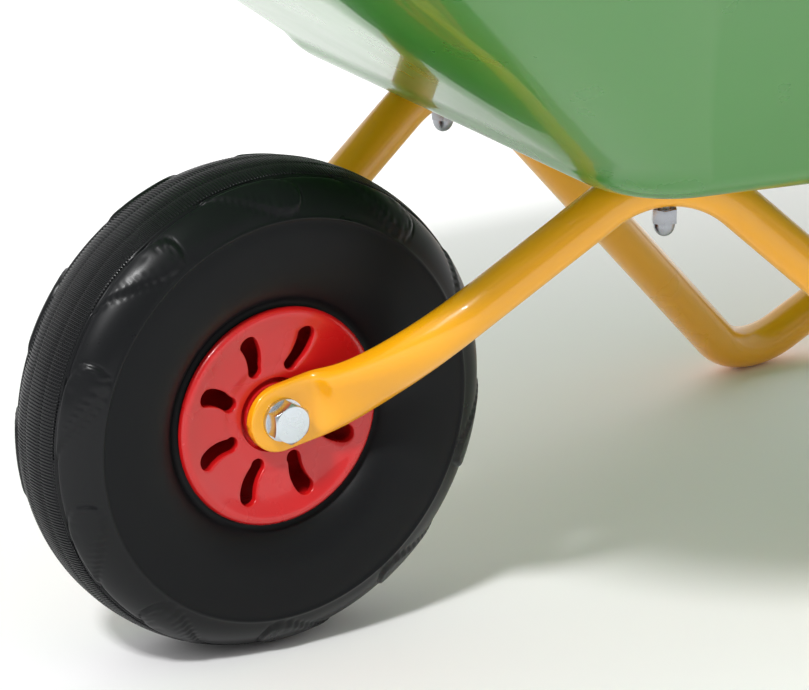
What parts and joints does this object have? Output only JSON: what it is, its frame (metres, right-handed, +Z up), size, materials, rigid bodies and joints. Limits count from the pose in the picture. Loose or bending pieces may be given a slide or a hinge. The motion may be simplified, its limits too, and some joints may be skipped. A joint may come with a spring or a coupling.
{
  "type": "toy wheelbarrow",
  "caption": "Child's metal wheelbarrow: sheet tray on two bent tubes that form fork, legs and handles, with one plastic wheel between them.",
  "frame": {"origin": "on the ground, midway between the two sides and midway between the front of the tyre and the ends of the grips", "axes": "+Z up, +Y from the wheel to the handles, +X to the user's left"},
  "size_m": [0.441, 0.8089, 0.3232],
  "materials": {
    "tray_paint": "gloss powder coat",
    "frame_paint": "gloss powder coat",
    "grip_rubber": "matt",
    "zinc": "bright zinc plate",
    "tyre_plastic": "half gloss",
    "rim_plastic": "gloss",
    "nylon": "matt"
  },
  "bodies": {
    "frame": {"tray": "tray_paint", "frame_tube_left": "frame_paint", "frame_tube_right": "frame_paint", "grip_left": "grip_rubber", "grip_right": "grip_rubber", "axle_bolt": "zinc", "axle_lock_nut": "zinc", "axle_washer_left": "zinc", "axle_washer_right": "zinc", "axle_spacer_left": "nylon", "axle_spacer_right": "nylon", "bolt_front_left": "zinc", "bolt_front_right": "zinc", "bolt_rear_left": "zinc", "bolt_rear_right": "zinc", "washer_front_left": "zinc", "washer_front_right": "zinc", "washer_rear_left": "zinc", "washer_rear_right": "zinc", "cap_nut_front_left": "zinc", "cap_nut_front_right": "zinc", "cap_nut_rear_left": "zinc", "cap_nut_rear_right": "zinc"},
    "wheel": {"tyre": "tyre_plastic", "rim_left": "rim_plastic", "rim_right": "rim_plastic", "hub_sleeve": "nylon"}
  },
  "joints": [
    {"name": "wheel_spin", "type": "hinge", "parent": "frame", "child": "wheel", "pos_m": [0, -0.31999, 0.085], "axis": [1, 0, 0], "continuous": true}
  ]
}
